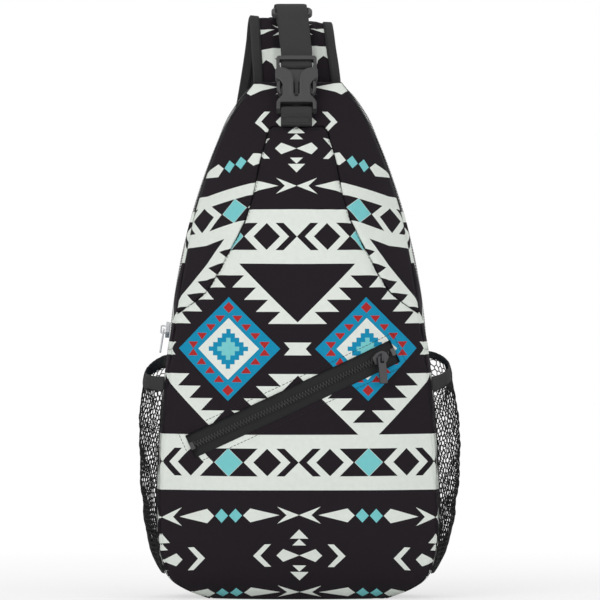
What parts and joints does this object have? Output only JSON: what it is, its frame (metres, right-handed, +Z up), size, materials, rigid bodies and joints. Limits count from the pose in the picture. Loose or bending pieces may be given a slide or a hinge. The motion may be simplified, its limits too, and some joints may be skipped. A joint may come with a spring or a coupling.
{
  "type": "sling backpack",
  "caption": "Teardrop one-strap backpack of printed cloth with a diagonal zip pocket, net side pockets, a side release buckle and a padded strap folded behind it.",
  "frame": {"origin": "middle of the flat base that the bag stands on", "axes": "+Z up to the strap's fold, -Y out of the printed front, +X to the right seen from the front"},
  "size_m": [0.2602, 0.1732, 0.476],
  "materials": {
    "printed_fabric": "matte printed polyester",
    "back_fabric": "matte padded fabric",
    "webbing": "ribbed webbing",
    "binding": "ribbed binding tape",
    "zip_tape": "woven tape",
    "zip_coil": "nylon coil",
    "net": "open knitted net",
    "buckle_plastic": "fine moulded texture",
    "dark_metal": "satin dark coating",
    "bright_metal": "bright plating"
  },
  "bodies": {
    "bag": {"front_panel": "printed_fabric", "front_yoke": "printed_fabric", "side_wall_left": "printed_fabric", "side_wall_right": "printed_fabric", "gusset_left": "printed_fabric", "gusset_right": "printed_fabric", "strap_pad": "printed_fabric", "back_panel": "back_fabric", "bottom_panel": "back_fabric", "front_pocket_bag": "back_fabric", "buckle_tab": "webbing", "webbing_anchor": "webbing", "strap_end_webbing": "webbing", "lower_webbing": "webbing", "corner_tab": "webbing", "strap_binding_left": "binding", "strap_binding_right": "binding", "pocket_band_left": "binding", "pocket_band_right": "binding", "front_zipper_tape_upper": "zip_tape", "front_zipper_tape_lower": "zip_tape", "main_zipper_tape": "zip_tape", "front_zipper_coil": "zip_coil", "main_zipper_coil": "zip_coil", "front_zipper_stop_bottom": "zip_coil", "front_zipper_stop_top": "zip_coil", "mesh_pocket_left": "net", "mesh_pocket_right": "net", "buckle_female": "buckle_plastic", "ladder_lock": "buckle_plastic"},
    "front_slider": {"front_zipper_slider": "dark_metal"},
    "front_pull": {"front_zipper_pull": "dark_metal"},
    "main_slider": {"main_zipper_slider": "bright_metal"},
    "main_pull": {"main_zipper_pull": "bright_metal"},
    "buckle_plug": {"buckle_male": "buckle_plastic", "quick_release_webbing": "webbing", "triglide": "buckle_plastic"}
  },
  "joints": [
    {"name": "front_zip", "type": "hinge", "parent": "bag", "child": "front_slider", "pos_m": [-0.01141, 0.15661, 0.15626], "axis": [0.4228, 0, -0.9062], "range_deg": [0, 39.8]},
    {"name": "front_pull", "type": "hinge", "parent": "front_slider", "child": "front_pull", "pos_m": [0.06641, -0.04843, 0.19257], "axis": [-0.9349, -0.3548, 0], "range_deg": [0, 140]},
    {"name": "main_zip", "type": "hinge", "parent": "bag", "child": "main_slider", "pos_m": [0.40709, 0.032, 0.16643], "axis": [0, 1, 0], "range_deg": [0, 18.5]},
    {"name": "main_pull", "type": "hinge", "parent": "main_slider", "child": "main_pull", "pos_m": [-0.10778, 0.032, 0.21349], "axis": [0, 1, 0], "range_deg": [0, 140]},
    {"name": "buckle_release", "type": "slide", "parent": "bag", "child": "buckle_plug", "axis": [0, 0.4848, 0.8746], "range_m": [0, 0.03]}
  ]
}
